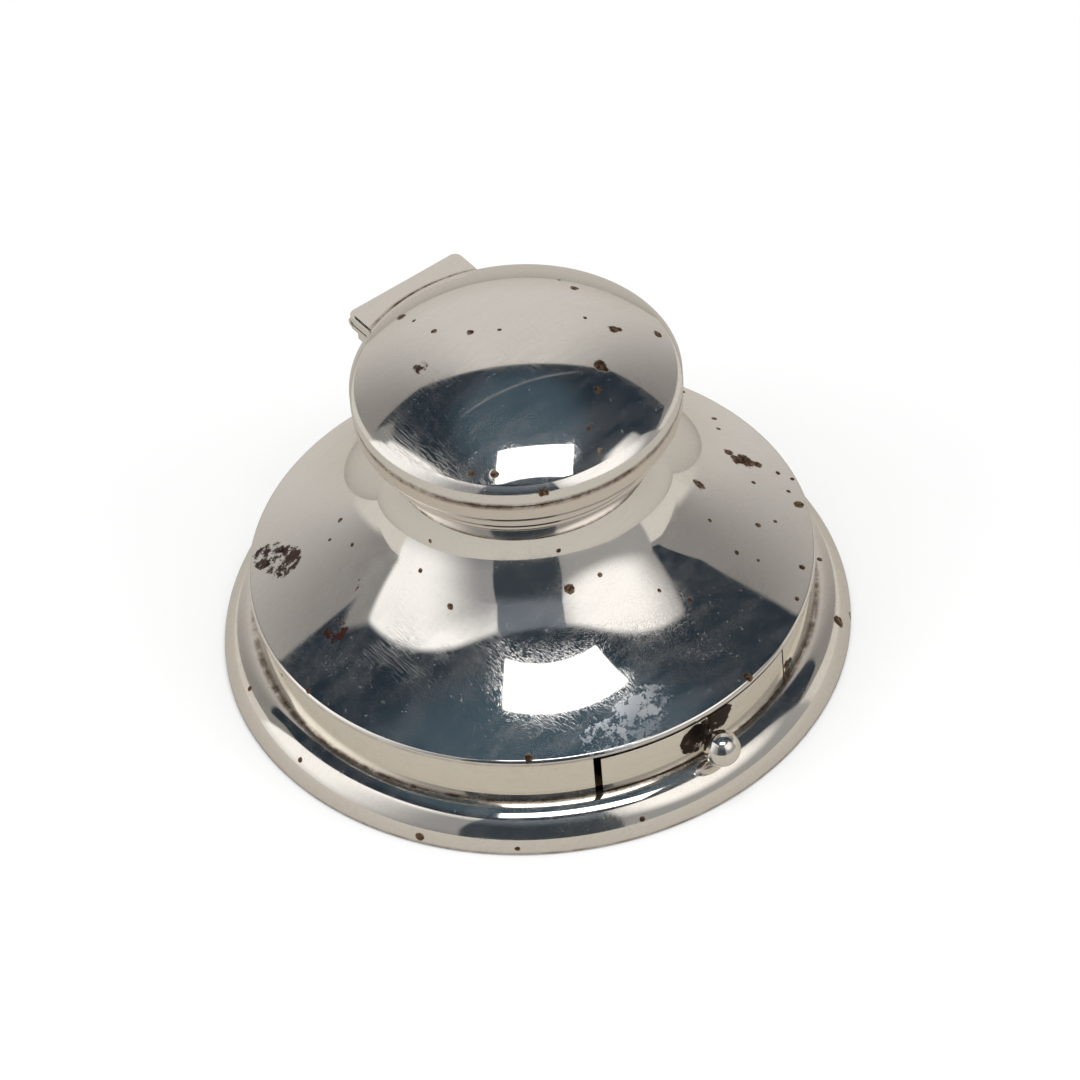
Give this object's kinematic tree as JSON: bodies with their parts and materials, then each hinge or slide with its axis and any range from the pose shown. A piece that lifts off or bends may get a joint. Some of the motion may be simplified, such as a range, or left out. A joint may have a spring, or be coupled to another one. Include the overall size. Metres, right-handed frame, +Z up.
{
  "type": "desk inkstand",
  "caption": "Round silver desk inkstand: domed body on a moulded foot, hinged domed lid over a glass ink pot, and a curved stamp drawer with a ball knob.",
  "frame": {"origin": "centre of the round base, on the table", "axes": "+Z up, -Y out of the drawer's front, +Y towards the lid's hinge, X along the hinge pin"},
  "size_m": [0.115, 0.1162, 0.0736],
  "materials": {
    "silver": "polished silver with light scratches, tarnish in the joints and a few corroded spots",
    "silver_inside": "plain silver, dulled by tarnish",
    "glass": "clear moulded glass",
    "wood": "plain turned hardwood",
    "baize": "dark green baize",
    "cement": "dull dark cement",
    "brass": "plain brass"
  },
  "bodies": {
    "base": {"base_pad": "baize", "base_board": "wood", "foot_filling": "cement", "foot_moulding": "silver", "wall_band": "silver", "body_shell": "silver", "neck_bead": "silver", "collar_ring": "silver", "glass_well": "glass", "drawer_case": "silver_inside", "case_screws": "brass", "hinge_leaf_lower": "silver", "hinge_pin": "silver"},
    "lid": {"lid_crown": "silver", "lid_rim": "silver", "lid_bezel": "silver_inside", "hinge_leaf_upper": "silver"},
    "drawer": {"drawer_front": "silver", "drawer_tray": "silver_inside", "drawer_knob": "silver"}
  },
  "joints": [
    {"name": "lid_hinge", "type": "hinge", "parent": "base", "child": "lid", "pos_m": [0, 0.0327, 0.06095], "axis": [-1, 0, 0], "range_deg": [0, 100]},
    {"name": "drawer_slide", "type": "slide", "parent": "base", "child": "drawer", "axis": [0, -1, 0], "range_m": [0, 0.026]}
  ]
}
